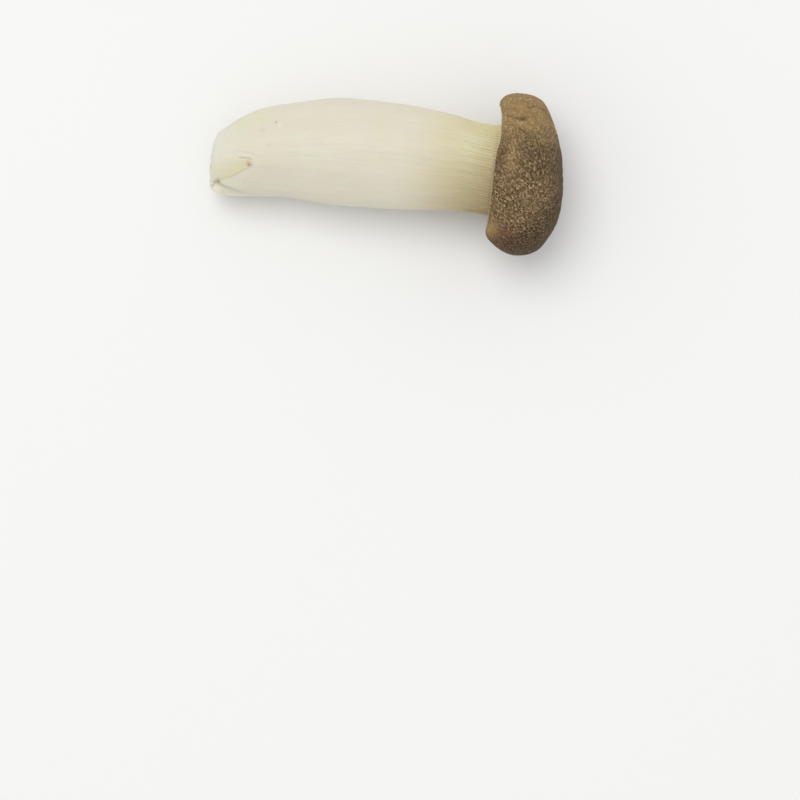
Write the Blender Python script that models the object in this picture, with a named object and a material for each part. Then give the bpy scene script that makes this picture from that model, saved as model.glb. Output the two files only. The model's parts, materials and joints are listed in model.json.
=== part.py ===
"""A king oyster mushroom as picked, lying on its side: thick bowed stem, trimmed foot, domed cap with an
inrolled margin, and gills that run down onto the stem. It grew as one piece, so it is one solid.

Frame: +X runs from the foot to the cap, +Y across, +Z up, and z = 0 is the surface that it lies on. The
origin is on that surface, under the middle of the mushroom's box. Angles round the mushroom start at +Y and
turn to +Z.
"""

import math

import bmesh
import bpy
import numpy as np

MM = 0.001  # the sizes below are in millimetres

# Stem, in sections from the foot to the neck.
# Columns: place along X, middle across Y, half width, half depth, height of the underside.
STEM_STATIONS = np.array(
    [
        (-48.4, 4.5, 9.4, 8.8, 1.2),
        (-44.0, 5.4, 10.9, 10.0, 0.7),
        (-38.0, 6.6, 12.35, 11.3, 0.3),
        (-27.0, 7.2, 13.6, 12.6, -0.2),
        (-15.0, 6.75, 15.3, 13.9, -0.25),
        (-3.0, 5.55, 15.3, 14.1, 0.55),
        (9.0, 4.35, 14.6, 13.5, 2.0),
        (20.0, 2.8, 13.45, 12.5, 4.1),
        (26.0, 1.65, 12.8, 12.0, 5.5),
        (30.0, 0.9, 12.85, 12.0, 6.0),
    ]
)
# Waves round a section of the stem: count, share, phase, twist for each millimetre.
STEM_WAVES = ((5, 0.010, 0.9, 0.03), (9, 0.006, 2.0, -0.02))
STEM_SLOUCH = 0.016  # how far its upper and lower sides lean, as a share
SLOUCH_TWIST = 0.05
FOOT = STEM_STATIONS[0, 0]
NECK = STEM_STATIONS[-1, 0]  # where the stem opens into the cap's underside

# Foot: a nearly square cut that bulges a little, a slice that the knife left beside it, and a folded flap.
FOOT_SLANT = math.radians(-4.5)
FOOT_TILT = math.radians(-2.0)
FOOT_BLEND = 9.0  # length over which the stem's sections turn to meet the cut
FOOT_FACE = ((0.985, 0.55), (0.93, 1.1), (0.8, 1.6), (0.55, 2.1), (0.28, 2.4))  # share of radius, bulge
FOOT_BULGE = 2.5
SLICE_TIP = (-39.4, 3.0)  # where the knife left the stem, seen from above
SLICE_SPREAD = (math.radians(172.0), math.radians(212.0))  # the wedge that it opened towards the cut
SLICE_EDGE = math.radians(7.0)
SLICE_DEPTH = 1.2
SLICE_LENGTH = 7.0
FOLD_PATH = ((-50.5, -1.6), (-43.0, -4.4), (-35.5, -5.7))
FOLD_DEPTH = 0.6
FOLD_WIDTH = 0.9
MARKS_RISE = (-1.0, 3.0)  # the marks fade out below the stem's middle, over these heights

# Cap, in rings from the lip of its margin, over the widest part, to the top of the dome.
# Columns: place across and along the cap's axis on its +Y side, then the same on its -Y side.
CAP_RINGS = np.array(
    [
        (18.8, -7.95, -17.0, -7.95),
        (20.3, -7.6, -19.2, -7.1),
        (21.6, -6.3, -21.2, -4.5),
        (22.4, -4.3, -22.6, -1.9),
        (22.7, -1.8, -23.2, 1.1),
        (22.4, 1.3, -22.7, 4.6),
        (21.2, 4.1, -20.9, 7.6),
        (18.4, 6.2, -17.8, 9.8),
        (14.4, 8.4, -13.9, 11.6),
        (9.0, 10.4, -9.5, 12.5),
        (3.5, 11.8, -5.2, 12.8),
        (-1.4, 12.65, -1.4, 12.65),
    ]
)
CAP_MIDDLE = (38.0, 0.0, 18.6)
CAP_SLANT = math.radians(-6.3)
CAP_TILT = math.radians(-0.5)
CAP_FLATNESS = 0.825  # depth over width
CAP_TIP = 0.1  # how far the top stands over the last ring
LOBES = ((3, 0.016, 1.9), (4, 0.012, 0.4), (7, 0.007, 2.2))  # waves round the cap: count, share, phase
DENT_SIDE = 16.3  # the soft fold over the cap, as a place across it
DENT_DEPTH = 0.8
DENT_WIDTH = 1.9
DENT_RISE = (2.0, 8.0)  # it fades out above the cap's middle, over these heights
NOTCH_TURN = math.radians(62.0)  # where the margin is drawn back a little, beside the fold
NOTCH_SPREAD = (math.radians(32.0), math.radians(16.0))  # before that angle and past it
NOTCH_DEPTH = 1.1
LIP_LIFT = 1.7  # how far the margin is drawn back on its lower side
LIP_LIFT_FULL = 0.5  # the sine at which it is fully so
NOTCH_FADE = (1.0, 4.0)  # both fade out over these rings

# Gills: blades with flat edges. Every second one is short: it starts near the neck.
GILLS = 56
GILL_SEED = 5
GILL_WANDER = 0.07  # of the distance between gills
GILL_COLUMNS = (0.0, 0.42, 0.52, 0.90)  # a blade's two edges and the gap's two, as shares of that distance
GILLS_START = 18.5  # where the first gills fade out on the stem
GILLS_SPREAD = 4.5
GILL_FADE = 6.0
SHORT_GILLS = (24.0, 29.0)
DECURRENT_DEPTH = 0.8
# The underside between neck and lip. Columns: share of the way out, place along the cap's axis, gap depth.
UNDERSIDE = (
    (0.05, -7.0, 1.0),
    (0.15, -5.9, 1.4),
    (0.32, -4.9, 1.7),
    (0.52, -4.5, 1.7),
    (0.70, -4.8, 1.3),
    (0.82, -5.7, 0.7),
)
LIP_INNER = (0.90, -6.9)

# Mesh: rings along each stretch. A plain ring has a column for each gill, and a gilled one has four.
STEM_RINGS = 30
STEM_CROWDING = 1.25  # above 1, the stem's rings are closer together at the foot
NECK_RINGS = 6
CAP_RING_STEP = 0.62

FLESH = ("mushroom_flesh", (0.74, 0.69, 0.55), 0.55)
SKIN = ("mushroom_cap_skin", (0.19, 0.12, 0.06), 0.75)
BLADES = ("mushroom_gills", (0.62, 0.55, 0.40), 0.65)


def clear_scene():
    """Removes every object that the scene starts with."""
    for obj in list(bpy.data.objects):
        bpy.data.objects.remove(obj, do_unlink=True)


def material(name, colour, roughness):
    """A plain Principled material."""
    made = bpy.data.materials.new(name)
    made.use_nodes = True
    shader = made.node_tree.nodes["Principled BSDF"]
    shader.inputs["Base Color"].default_value = (*colour, 1.0)
    shader.inputs["Roughness"].default_value = roughness
    shader.inputs["Metallic"].default_value = 0.0
    return made


def smooth(low, high, value):
    """0 below low, 1 above high, and a smooth step between them."""
    share = np.clip((value - low) / (high - low), 0.0, 1.0)
    return share * share * (3.0 - 2.0 * share)


def through(places, values, at):
    """The values at a place, on smooth curves through the rows of values at places."""
    slopes = np.gradient(values, places, axis=0)
    i = int(np.clip(np.searchsorted(places, at) - 1, 0, len(places) - 2))
    span = places[i + 1] - places[i]
    t = (at - places[i]) / span
    return (
        (2 * t**3 - 3 * t**2 + 1) * values[i]
        + (t**3 - 2 * t**2 + t) * span * slopes[i]
        + (3 * t**2 - 2 * t**3) * values[i + 1]
        + (t**3 - t**2) * span * slopes[i + 1]
    )


def section_frame(slant, tilt):
    """Axis, side and up directions of a section that is turned about Z by slant and raised by tilt."""
    axis = np.array([math.cos(tilt) * math.cos(slant), math.cos(tilt) * math.sin(slant), math.sin(tilt)])
    side = np.array([-math.sin(slant), math.cos(slant), 0.0])
    return axis, side, np.cross(axis, side)


def plain_turns():
    return np.arange(GILLS) * (2.0 * math.pi / GILLS)


def gill_turns():
    """Angles of the gilled rings' columns: each gill's two edges, then its gap's two, a little uneven."""
    draw = np.random.default_rng(GILL_SEED)
    pitch = 2.0 * math.pi / GILLS
    wander = draw.uniform(-GILL_WANDER, GILL_WANDER, GILLS)
    return ((np.arange(GILLS) + wander)[:, None] * pitch + np.array(GILL_COLUMNS) * pitch).ravel()


def stem_centre(x):
    middle, _, half_depth, underside = through(STEM_STATIONS[:, 0], STEM_STATIONS[:, 1:], x)
    return np.array([x, middle, underside + half_depth])


def stem_frame(x):
    """The stem's sections are parallel to the cut at the foot and square to the cap's axis at the neck."""
    foot = 1.0 - smooth(FOOT, FOOT + FOOT_BLEND, x)
    neck = smooth(0.0, NECK, x)
    return section_frame(CAP_SLANT + (FOOT_SLANT - CAP_SLANT) * foot, FOOT_TILT * foot + CAP_TILT * neck)


def stem_section(x, turn):
    """One section of the stem, as points at the angles in turn: an ellipse with slow waves round it."""
    _, half_width, half_depth, _ = through(STEM_STATIONS[:, 0], STEM_STATIONS[:, 1:], x)
    _, side, up = stem_frame(x)
    wave = 1.0 + STEM_SLOUCH * np.sin(turn) ** 2 * np.sin(2 * turn + SLOUCH_TWIST * x)
    for count, share, phase, twist in STEM_WAVES:
        wave = wave + share * np.sin(count * turn + phase + twist * x)
    across = np.outer(half_width * wave * np.cos(turn), side)
    return stem_centre(x) + across + np.outer(half_depth * wave * np.sin(turn), up)


def path_distance(points, path):
    """How far points seen from above are from a path of straight stretches."""
    path = np.array(path)
    found = np.full(len(points), np.inf)
    for start, end in zip(path[:-1], path[1:]):
        run = end - start
        share = np.clip(((points - start) @ run) / (run @ run), 0.0, 1.0)
        found = np.minimum(found, np.linalg.norm(points - start - share[:, None] * run, axis=1))
    return found


def knife_marks(section, x):
    """Lowers the knife's slice and the crease above the folded flap into the upper side of the foot."""
    seen = section[:, :2]
    away = seen - np.array(SLICE_TIP)
    heading = np.arctan2(away[:, 1], away[:, 0]) % (2.0 * math.pi)
    low, high = SLICE_SPREAD
    wedge = smooth(low - SLICE_EDGE, low + SLICE_EDGE, heading)
    wedge = wedge * (1.0 - smooth(high - SLICE_EDGE, high + SLICE_EDGE, heading))
    depth = SLICE_DEPTH * wedge * np.exp(-np.linalg.norm(away, axis=1) / SLICE_LENGTH)
    depth = depth + FOLD_DEPTH * np.exp(-((path_distance(seen, FOLD_PATH) / FOLD_WIDTH) ** 2))
    outward = section - stem_centre(x)
    depth = depth * smooth(*MARKS_RISE, outward[:, 2])
    return section - outward / np.linalg.norm(outward, axis=1)[:, None] * depth[:, None]


def foot_ring(share, bulge, turn):
    """A ring of the foot's cut face, a share of the stem's first section across and a bulge beyond it."""
    rim = knife_marks(stem_section(FOOT, turn), FOOT)
    middle = stem_centre(FOOT)
    axis, _, _ = stem_frame(FOOT)
    return middle + (rim - middle) * share - axis * bulge


def lobes(turn):
    """The cap isn't quite oval: waves round it, which leave its two sides where they are."""
    waves = sum(share * np.sin(count * turn + phase) for count, share, phase in LOBES)
    return 1.0 + waves * np.sin(turn) ** 2


def notch(turn):
    """How far the lip is drawn back along the cap's axis: beside the fold, and all along its lower side."""
    away = (turn - NOTCH_TURN + math.pi) % (2.0 * math.pi) - math.pi
    spread = np.where(away < 0.0, *NOTCH_SPREAD)
    lift = LIP_LIFT * smooth(0.0, LIP_LIFT_FULL, -np.sin(turn))
    return NOTCH_DEPTH * np.exp(-((away / spread) ** 2)) + lift


def dented(across, up, along):
    """The share of their distance from the cap's middle that points keep where the fold presses them in."""
    depth = DENT_DEPTH * np.exp(-(((across - DENT_SIDE) / DENT_WIDTH) ** 2)) * smooth(*DENT_RISE, up)
    return 1.0 - depth / np.maximum(np.sqrt(across**2 + up**2 + along**2), 1.0)


def on_cap(across, up, along):
    """Points given across, up and along the cap's axis."""
    axis, side, rise = section_frame(CAP_SLANT, CAP_TILT)
    return np.array(CAP_MIDDLE) + np.outer(across, side) + np.outer(up, rise) + np.outer(along, axis)


def cap_row(place):
    """The cap's ring at a place in CAP_RINGS. Past the top the curve comes down with the sides exchanged."""
    rows = np.vstack([CAP_RINGS, CAP_RINGS[-2, [2, 3, 0, 1]]])
    return through(np.arange(len(rows)), rows, place)


def cap_ring(place, turn):
    """One ring of the cap: an oval between its two sides, with the cap's lobes."""
    high, high_along, low, low_along = cap_row(place)
    half_width = (high - low) / 2 * lobes(turn)
    across = (high + low) / 2 + half_width * np.cos(turn)
    along = (high_along + low_along) / 2 + (high_along - low_along) / 2 * np.cos(turn)
    along = along + notch(turn) * (1.0 - smooth(*NOTCH_FADE, place))
    up = CAP_FLATNESS * half_width * np.sin(turn)
    keep = dented(across, up, along)
    return on_cap(across * keep, up * keep, along * keep)


def underside_ring(share, along, turn):
    """A ring between the neck and the lip, a share of the way out, at places along the cap's axis."""
    _, neck_width, neck_depth, _ = through(STEM_STATIONS[:, 0], STEM_STATIONS[:, 1:], NECK)
    axis, side, rise = section_frame(CAP_SLANT, CAP_TILT)
    offset = stem_centre(NECK) - np.array(CAP_MIDDLE)
    lip = CAP_RINGS[0]
    lip_width = (lip[0] - lip[2]) / 2
    wave = 1.0 + share * (lobes(turn) - 1.0)
    half_width = (neck_width + (lip_width - neck_width) * share) * wave
    half_depth = (neck_depth + (lip_width * CAP_FLATNESS - neck_depth) * share) * wave
    across = (offset @ side) * (1.0 - share) + (lip[0] + lip[2]) / 2 * share
    up = (offset @ rise) * (1.0 - share)
    along = along + notch(turn) * share
    return on_cap(across + half_width * np.cos(turn), up + half_depth * np.sin(turn), along)


def gill_sinks(x):
    """How deep each column of a gilled section at x is sunk: the gaps, and the places of short gills."""
    draw = np.random.default_rng(GILL_SEED + 1)
    start = draw.uniform(GILLS_START, GILLS_START + GILLS_SPREAD, GILLS)
    birth = draw.uniform(*SHORT_GILLS, GILLS)
    stands = np.where(np.arange(GILLS) % 2 == 0, 1.0, smooth(birth, birth + GILL_FADE / 2, x))
    blade = np.array([[1.0, 1.0, 0.0, 0.0]]) * stands[:, None]
    depth = DECURRENT_DEPTH * smooth(start, start + GILL_FADE, x)
    return (depth[:, None] * (1.0 - blade)).ravel()


def foot_and_stem():
    """Plain rings from the middle of the foot's face to where the gills start."""
    turn = plain_turns()
    share = np.linspace(0.0, 1.0, STEM_RINGS) ** STEM_CROWDING
    places = FOOT + (GILLS_START - FOOT) * share
    face = [foot_ring(share, bulge, turn) for share, bulge in FOOT_FACE[::-1]]
    return face + [knife_marks(stem_section(x, turn), x) for x in places]


def gilled():
    """Gilled rings up the neck and out along the underside."""
    turn = gill_turns()
    rings = []
    for x in np.linspace(GILLS_START, NECK, NECK_RINGS + 1)[1:]:
        section = stem_section(x, turn)
        outward = section - stem_centre(x)
        outward = outward / np.linalg.norm(outward, axis=1)[:, None]
        rings.append(section - outward * gill_sinks(x)[:, None])
    gap = np.tile([0.0, 0.0, 1.0, 1.0], GILLS)
    return rings + [underside_ring(share, along + depth * gap, turn) for share, along, depth in UNDERSIDE]


def cap():
    """Plain rings from inside the lip to just before the top of the dome."""
    turn = plain_turns()
    top = len(CAP_RINGS) - 1
    places = np.linspace(0.0, top, round(top / CAP_RING_STEP) + 1)[:-1]
    return [underside_ring(*LIP_INNER, turn)] + [cap_ring(place, turn) for place in places]


def settle(zones):
    """Puts the origin under the middle of the box, and flattens what presses on the surface."""
    every = np.vstack([ring for zone in zones for ring in zone])
    middle = (every.min(axis=0) + every.max(axis=0)) / 2
    for zone in zones:
        for ring in zone:
            ring[:, :2] -= middle[:2]
            ring[:, 2] = np.maximum(ring[:, 2], 0.0)


def bridge(mesh, first, second, slot):
    """Joins two rings. Where one has several columns for each of the other's, each plain edge meets a fan."""
    few, many = (first, second) if len(first) <= len(second) else (second, first)
    ratio = len(many) // len(few)
    for i in range(len(few)):
        after = (i + 1) % len(few)
        strip = [many[(i * ratio + k) % len(many)] for k in range(ratio + 1)]
        half = ratio // 2
        if ratio == 1:
            faces = [(few[i], few[after], strip[1], strip[0])]
        else:
            faces = [(few[i], strip[k + 1], strip[k]) for k in range(half)]
            faces += [(few[after], strip[k + 1], strip[k]) for k in range(half, ratio)]
            faces.append((few[i], few[after], strip[half]))
        for face in faces:
            mesh.faces.new(face if few is first else face[::-1]).material_index = slot


def close_end(mesh, ring, slot, outward):
    """Closes a ring to its middle, moved outward."""
    tip = mesh.verts.new(np.mean([vert.co for vert in ring], axis=0) + outward)
    for i, vert in enumerate(ring):
        mesh.faces.new((ring[(i + 1) % len(ring)], vert, tip)).material_index = slot


def build_mushroom():
    """Joins the rings into one closed surface, from the middle of the foot to the top of the cap."""
    zones = [foot_and_stem(), gilled(), cap()]
    settle(zones)
    mesh = bmesh.new()
    slots = (0, 2, 1)
    made = [[[mesh.verts.new(point * MM) for point in ring] for ring in zone] for zone in zones]
    for zone, slot in zip(made, slots):
        for first, second in zip(zone[:-1], zone[1:]):
            bridge(mesh, first, second, slot)
    bridge(mesh, made[0][-1], made[1][0], slots[0])
    bridge(mesh, made[1][-1], made[2][0], slots[1])
    foot_axis, _, _ = stem_frame(FOOT)
    cap_axis, _, _ = section_frame(CAP_SLANT, CAP_TILT)
    close_end(mesh, made[0][0], slots[0], -foot_axis * (FOOT_BULGE - FOOT_FACE[-1][1]) * MM)
    close_end(mesh, made[2][-1][::-1], slots[2], cap_axis * CAP_TIP * MM)
    return mesh


def main():
    clear_scene()
    mesh = build_mushroom()
    data = bpy.data.meshes.new("mushroom")
    mesh.to_mesh(data)
    mesh.free()
    for name, colour, roughness in (FLESH, SKIN, BLADES):
        data.materials.append(material(name, colour, roughness))
    data.shade_smooth()
    data.set_sharp_from_angle(angle=math.radians(50.0))
    mushroom = bpy.data.objects.new("mushroom", data)
    bpy.context.scene.collection.objects.link(mushroom)


main()
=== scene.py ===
"""The looks of a king oyster mushroom that lies on its side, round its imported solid.

Three pieces stand for the solid: the stem with its trimmed foot, the cap with its inrolled margin, and the
gills that run down onto the neck. Lengths in the shape functions are in millimetres, along the axes of the
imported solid: +X runs from the foot to the cap and +Z up. Angles round the mushroom start at +Y and turn
to +Z.
"""

import json
import math

import bpy
import numpy as np
from bpy.props import FloatProperty, FloatVectorProperty, IntProperty, PointerProperty
from bpy.types import NodeSocket, Operator, Panel, PropertyGroup
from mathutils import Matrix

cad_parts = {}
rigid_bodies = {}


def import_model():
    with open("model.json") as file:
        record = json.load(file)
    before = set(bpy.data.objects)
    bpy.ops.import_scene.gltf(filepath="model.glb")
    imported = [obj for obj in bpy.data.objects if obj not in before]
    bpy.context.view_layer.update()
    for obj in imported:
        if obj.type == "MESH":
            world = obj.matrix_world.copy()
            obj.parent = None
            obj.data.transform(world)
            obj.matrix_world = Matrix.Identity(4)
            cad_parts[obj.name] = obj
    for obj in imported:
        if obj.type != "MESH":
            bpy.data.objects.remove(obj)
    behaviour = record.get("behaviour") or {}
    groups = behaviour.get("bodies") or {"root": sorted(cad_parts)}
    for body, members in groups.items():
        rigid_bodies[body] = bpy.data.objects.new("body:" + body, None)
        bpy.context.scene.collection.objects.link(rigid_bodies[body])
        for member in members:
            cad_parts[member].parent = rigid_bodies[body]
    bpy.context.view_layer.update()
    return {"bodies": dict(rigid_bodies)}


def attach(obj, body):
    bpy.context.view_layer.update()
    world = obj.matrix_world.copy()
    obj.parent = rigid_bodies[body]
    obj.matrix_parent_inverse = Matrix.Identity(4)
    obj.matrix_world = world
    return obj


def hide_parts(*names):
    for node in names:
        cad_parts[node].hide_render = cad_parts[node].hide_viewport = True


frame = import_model()

bl_info = {
    "name": "King Oyster Mushroom",
    "version": (1, 0, 0),
    "blender": (4, 5, 0),
    "location": "3D View > Sidebar > Mushroom",
    "description": "Stem, cap and gills of a king oyster mushroom, with a stage to see them on",
    "category": "Object",
}

NODE = "mushroom"
MM = 0.001
TURN = 2.0 * math.pi

# Stem, in sections from the foot to the neck.
# Columns: place along X, middle across Y, half width, half depth, height of the underside.
STEM = np.array(
    [
        (-48.4, 4.5, 9.4, 8.8, 1.2),
        (-44.0, 5.4, 10.9, 10.0, 0.7),
        (-38.0, 6.6, 12.35, 11.3, 0.3),
        (-27.0, 7.2, 13.6, 12.6, -0.2),
        (-15.0, 6.75, 15.3, 13.9, -0.25),
        (-3.0, 5.55, 15.3, 14.1, 0.55),
        (9.0, 4.35, 14.6, 13.5, 2.0),
        (20.0, 2.8, 13.45, 12.5, 4.1),
        (26.0, 1.65, 12.8, 12.0, 5.5),
        (30.0, 0.9, 12.85, 12.0, 6.0),
    ]
)
STEM_WAVES = ((5, 0.010, 0.9, 0.03), (9, 0.006, 2.0, -0.02))  # count, share, phase, twist for each millimetre
STEM_SLOUCH = 0.016
SLOUCH_TWIST = 0.05
STEM_ROUND = 14.0  # mean radius, which the grain is laid out on
FOOT = STEM[0, 0]
NECK = STEM[-1, 0]

# Foot: the cut face, and the marks that the knife left beside it.
FOOT_SLANT = math.radians(-8.0)
FOOT_TILT = math.radians(-2.0)
FOOT_BLEND = 9.0
FOOT_BULGE = 2.0
RIM_ROUNDING = 0.07  # the stem's last sections are smaller by this share at the cut
RIM_LENGTH = 1.5
CUT_SPILL = (0.7, 2.6)  # how much of the cut's colour is on the stem beside it, and how far it runs
SLICE_DEPTH = 0.65
SLICE_LENGTH = 7.0
SLICE_STEP = ((-38.4, 1.6), (-39.0, 4.4))  # where the knife stopped, seen from above
# The slice's edges: it lies to the left of each line from start to end, and how soft that edge is.
SLICE_EDGES = (
    (*SLICE_STEP, 0.6),
    ((-48.6, -3.2), (-38.4, 1.6), 1.1),
    ((-39.0, 4.4), (-48.6, 4.6), 3.2),
)
MARKS_RISE = (-1.0, 3.0)
HEIGHT_COUNTS = 0.5  # what a height counts for in how far a point is from a crease

# Creases in the foot. Columns: path seen from above, depth, half width, how brown it is, which is partly
# painted shade in the crease, and the share of all three that is lost by the path's end.
FOOT_CREASES = (
    (
        ((-38.5, 1.7), (-40.6, 0.9), (-42.6, -0.1), (-44.6, -1.0), (-46.8, -1.5), (-48.6, -2.2)),
        *(0.20, 0.34, 0.46, 0.7),
    ),
    (((-38.2, 3.75), (-40.0, 4.25), (-41.7, 4.45)), 0.28, 0.25, 0.68, 0.4),
    (((-38.9, 2.9), (-38.8, 1.9)), 0.35, 0.30, 0.50, 0.0),
    (
        ((-50.6, -2.4), (-48.0, -3.0), (-45.0, -4.1), (-42.0, -4.9), (-38.8, -5.5), (-33.0, -5.9)),
        *(0.90, 0.58, 0.56, 0.9),
    ),
    (((-47.0, -4.1), (-44.5, -4.8), (-42.4, -5.4)), 0.18, 0.35, 0.20, 0.6),
    (((-37.6, 5.3), (-40.5, 6.0), (-43.5, 6.4)), 0.08, 0.30, 0.18, 0.6),
    (((-38.0, 1.7), (-33.5, 1.3), (-30.0, 1.5)), 0.07, 0.35, 0.12, 0.8),
    (((-40.8, -2.2), (-36.5, -2.6)), 0.07, 0.35, 0.12, 0.6),
)
# Raised places beside them: the same, with a height, and how pale. On the flap below the fold, which faces
# down, the paleness is a painted highlight; elsewhere it is paler flesh.
FOOT_RIDGES = (
    (((-42.3, 5.3), (-40.0, 5.0), (-37.8, 4.5)), 0.12, 0.40, 0.1, 0.3),
    (((-50.0, -3.9), (-46.5, -5.0), (-41.5, -6.0), (-37.0, -6.7), (-31.0, -7.1)), 0.45, 1.60, 1.0, 0.9),
    (((-30.6, 13.9), (-30.1, 13.4)), 0.10, 0.35, 0.4, 0.0),
)
# Spots: place seen from above, radius, depth, brown, how dark.
FOOT_SPOTS = (
    ((-38.95, 2.2), 0.55, 0.25, 1.00),
    ((-38.2, 2.3), 0.70, 0.00, 0.35),
    ((-48.2, -2.2), 0.85, 0.20, 0.90),
    ((-49.6, -2.9), 0.45, 0.15, 0.75),
    ((-46.6, -4.6), 0.80, 0.00, 0.16),
    ((-31.1, 14.35), 0.28, 0.14, 1.00),
    ((-34.9, 12.0), 0.80, 0.04, 0.14),
    ((-33.0, 7.6), 0.70, 0.03, 0.12),
)
FOOT_BLUSH = (((-39.1, 3.3), 0.6), ((-39.3, 2.8), 0.4))  # the orange pink of bruised flesh
GREEN_TINTS = (((-41.0, 14.6), 2.6), ((-36.0, 15.6), 2.4), ((-2.0, 12.8), 2.2), ((24.0, 8.0), 5.0))

# Cap, in rings from the lip of its margin, over the widest part, to the top of the dome.
# Columns: place across and along the cap's axis on its +Y side, then the same on its -Y side.
CAP = np.array(
    [
        (18.8, -7.95, -17.0, -7.95),
        (20.3, -7.6, -19.2, -7.1),
        (21.6, -6.3, -21.2, -4.5),
        (22.4, -4.3, -22.6, -1.9),
        (22.7, -1.8, -23.2, 1.1),
        (22.4, 1.3, -22.7, 4.6),
        (21.2, 4.1, -20.9, 7.6),
        (18.4, 6.2, -17.8, 9.8),
        (14.4, 8.4, -13.9, 11.6),
        (9.0, 10.4, -9.5, 12.5),
        (3.5, 11.8, -5.2, 12.8),
        (-1.4, 12.65, -1.4, 12.65),
    ]
)
CAP_TOP = len(CAP) - 1
CAP_MIDDLE = np.array([38.0, 0.0, 18.6])
CAP_SLANT = math.radians(-6.3)
CAP_TILT = math.radians(-0.5)
CAP_FLATNESS = 0.825
CAP_TIP = 0.05
LOBES = ((3, 0.016, 1.9), (4, 0.012, 0.4), (7, 0.007, 2.2))
DENT_SIDE = 16.3
DENT_DEPTH = 0.8
DENT_WIDTH = 1.9
DENT_RISE = (2.0, 8.0)
NOTCH_TURN = math.radians(62.0)
NOTCH_SPREAD = (math.radians(32.0), math.radians(16.0))
NOTCH_DEPTH = 1.1
LIP_LIFT = 1.7
LIP_LIFT_FULL = 0.5
NOTCH_FADE = (1.0, 4.0)
DIMPLE_DEPTH = 0.55
RAY_HEIGHT = 0.10
CRIMP_HEIGHT = 0.05

# Creases in the cap's skin, seen from above: path, depth, half width, share lost by its end.
CAP_CREASES = (
    (((40.0, 18.2), (42.2, 18.0), (44.4, 17.3), (45.3, 16.3), (45.8, 15.2)), 0.26, 0.38, 0.6),
    (((38.9, 14.6), (37.0, 14.7), (35.4, 15.1), (34.0, 15.5)), 0.34, 0.42, 0.6),
    (((38.9, 14.6), (40.6, 14.9)), 0.26, 0.40, 0.7),
    (((37.3, 11.6), (38.8, 10.6), (40.6, 9.5)), 0.34, 0.32, 0.3),
    (((41.6, 15.8), (43.0, 13.9)), 0.14, 0.26, 0.5),
    (((33.0, 16.9), (35.4, 17.6), (37.2, 17.5)), 0.16, 0.32, 0.5),
    (((36.0, 19.4), (38.5, 19.9), (41.0, 19.6)), 0.10, 0.30, 0.5),
)
# Where the cap is darker, as a sum: its own darker tone and painted shade, on the dome, the lower side and
# a band in the middle. Columns: share, weights of the places along and across, start and end.
CAP_TONE_AND_SHADE = (
    (0.60, 1.0, 0.0, 6.5, 12.0),
    (0.75, 0.8, -0.6, 9.0, 15.0),
    (0.80, 0.0, -1.0, 13.0, 21.0),
    (0.38, 0.0, -1.0, -10.0, -5.0),
    (-0.38, 0.0, -1.0, 0.0, 4.0),
)

# The underside between neck and lip. Columns: share of the way out, place along the cap's axis of the
# gills' edges, and how much deeper the flesh between them is.
UNDERSIDE = np.array(
    [
        (0.00, -8.05, 0.00),
        (0.05, -7.00, 0.45),
        (0.15, -5.90, 1.05),
        (0.32, -4.90, 1.60),
        (0.52, -4.50, 1.70),
        (0.70, -4.80, 1.30),
        (0.82, -5.70, 0.75),
        (0.91, -6.95, 0.15),
        (1.00, -7.95, 0.00),
    ]
)
UNDERSIDE_LENGTH = 8.0  # what a share of 1 measures along the gills
SUNK_FROM = 15.0  # the stem's skin sinks between the gills from here to the neck
SUNK_DEPTH = 0.24

# A gill's section. Columns: place across as a share of the thickness, and height as a share of the gill's
# height or, below its foot, in millimetres.
GILL_SECTION = np.array(
    [(-0.62, -0.30), (-0.44, 0.35), (-0.26, 0.85), (0.0, 1.0), (0.26, 0.85), (0.44, 0.35), (0.62, -0.30)]
)

# How finely the pieces are laid out.
STEM_COLUMNS = 500
STEM_RINGS = 160
FACE_RINGS = 34
CAP_COLUMNS = 480
SKIN_RINGS = 165
FLOOR_RINGS = 36
GILL_STEPS = 60
LINE_POINTS = 400
SPECK_WAVES = 48

SHIFT = (0.224, 0.225, 0.0)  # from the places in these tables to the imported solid's frame
LAMP_PLACE = (-0.55, 0.75, 2.45)  # in metres


def smooth(low, high, value):
    """0 below low, 1 above high, and between them 3 t squared less 2 t cubed."""
    share = np.clip((value - low) / (high - low), 0.0, 1.0)
    return share * share * (3.0 - 2.0 * share)


def bell(distance, width):
    """1 at no distance, falling as e to the power of minus the square of distance over width."""
    return np.exp(-((distance / width) ** 2))


def curve(places, values, at):
    """Cubic Hermite curves through the rows of values at places. A slope is that of the neighbouring rows.

    at may be an array of any shape. The result has that shape and the columns of values after it.
    """
    slopes = np.gradient(values, places, axis=0)
    i = np.clip(np.searchsorted(places, at) - 1, 0, len(places) - 2)
    span = (places[i + 1] - places[i])[..., None]
    t = (at - places[i])[..., None] / span
    return (
        (2 * t**3 - 3 * t**2 + 1) * values[i]
        + (t**3 - 2 * t**2 + t) * span * slopes[i]
        + (3 * t**2 - 2 * t**3) * values[i + 1]
        + (t**3 - t**2) * span * slopes[i + 1]
    )


def columns_of(places, values, at):
    """The curves of values, one array for each column."""
    return np.moveaxis(curve(places, values, at), -1, 0)


def unit(vectors):
    """The vectors at length 1."""
    return vectors / np.maximum(np.linalg.norm(vectors, axis=-1, keepdims=True), 1e-9)


def directions(slant, tilt):
    """Axis, side and up directions of a section that is turned about Z by slant and raised by tilt."""
    slant, tilt = np.broadcast_arrays(slant, tilt)
    flat = np.stack([np.cos(slant), np.sin(slant), np.zeros(slant.shape)], axis=-1)
    axis = flat * np.cos(tilt)[..., None] + np.array([0.0, 0.0, 1.0]) * np.sin(tilt)[..., None]
    side = np.stack([-np.sin(slant), np.cos(slant), np.zeros(slant.shape)], axis=-1)
    return axis, side, np.cross(axis, side)


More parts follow.
